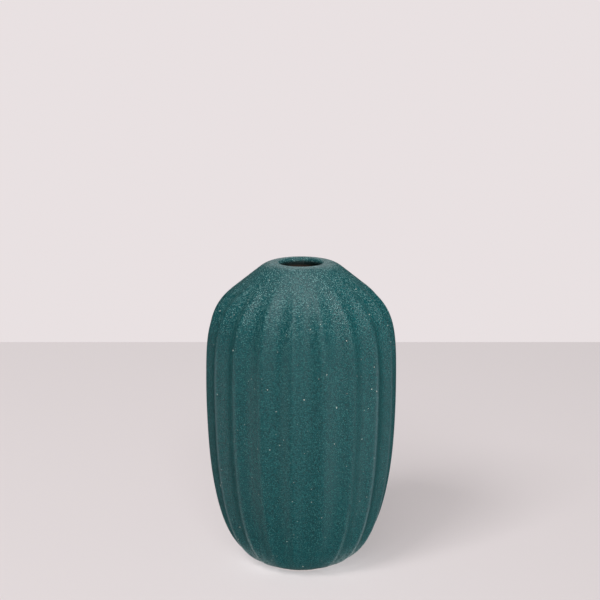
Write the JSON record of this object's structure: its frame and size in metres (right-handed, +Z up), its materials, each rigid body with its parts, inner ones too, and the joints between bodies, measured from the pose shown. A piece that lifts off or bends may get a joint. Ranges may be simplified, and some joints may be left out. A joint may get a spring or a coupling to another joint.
{
  "type": "bud vase",
  "caption": "Free-standing bud vase with a fluted, egg-shaped glazed body, a smooth rounded lip with a narrow round mouth, and a small bare clay foot.",
  "frame": {"origin": "centre of the foot's resting plane", "axes": "+Z up along the vase's axis, front towards -Y"},
  "size_m": [0.0795, 0.0797, 0.13],
  "materials": {
    "bare_clay": "unglazed fired stoneware",
    "teal_glaze": "satin matt speckled glaze with a fine sandy grain",
    "brown_liner": "thin glossy liner glaze"
  },
  "bodies": {
    "root": {"clay_body": "bare_clay", "outer_glaze": "teal_glaze", "liner_glaze": "brown_liner"}
  },
  "joints": []
}
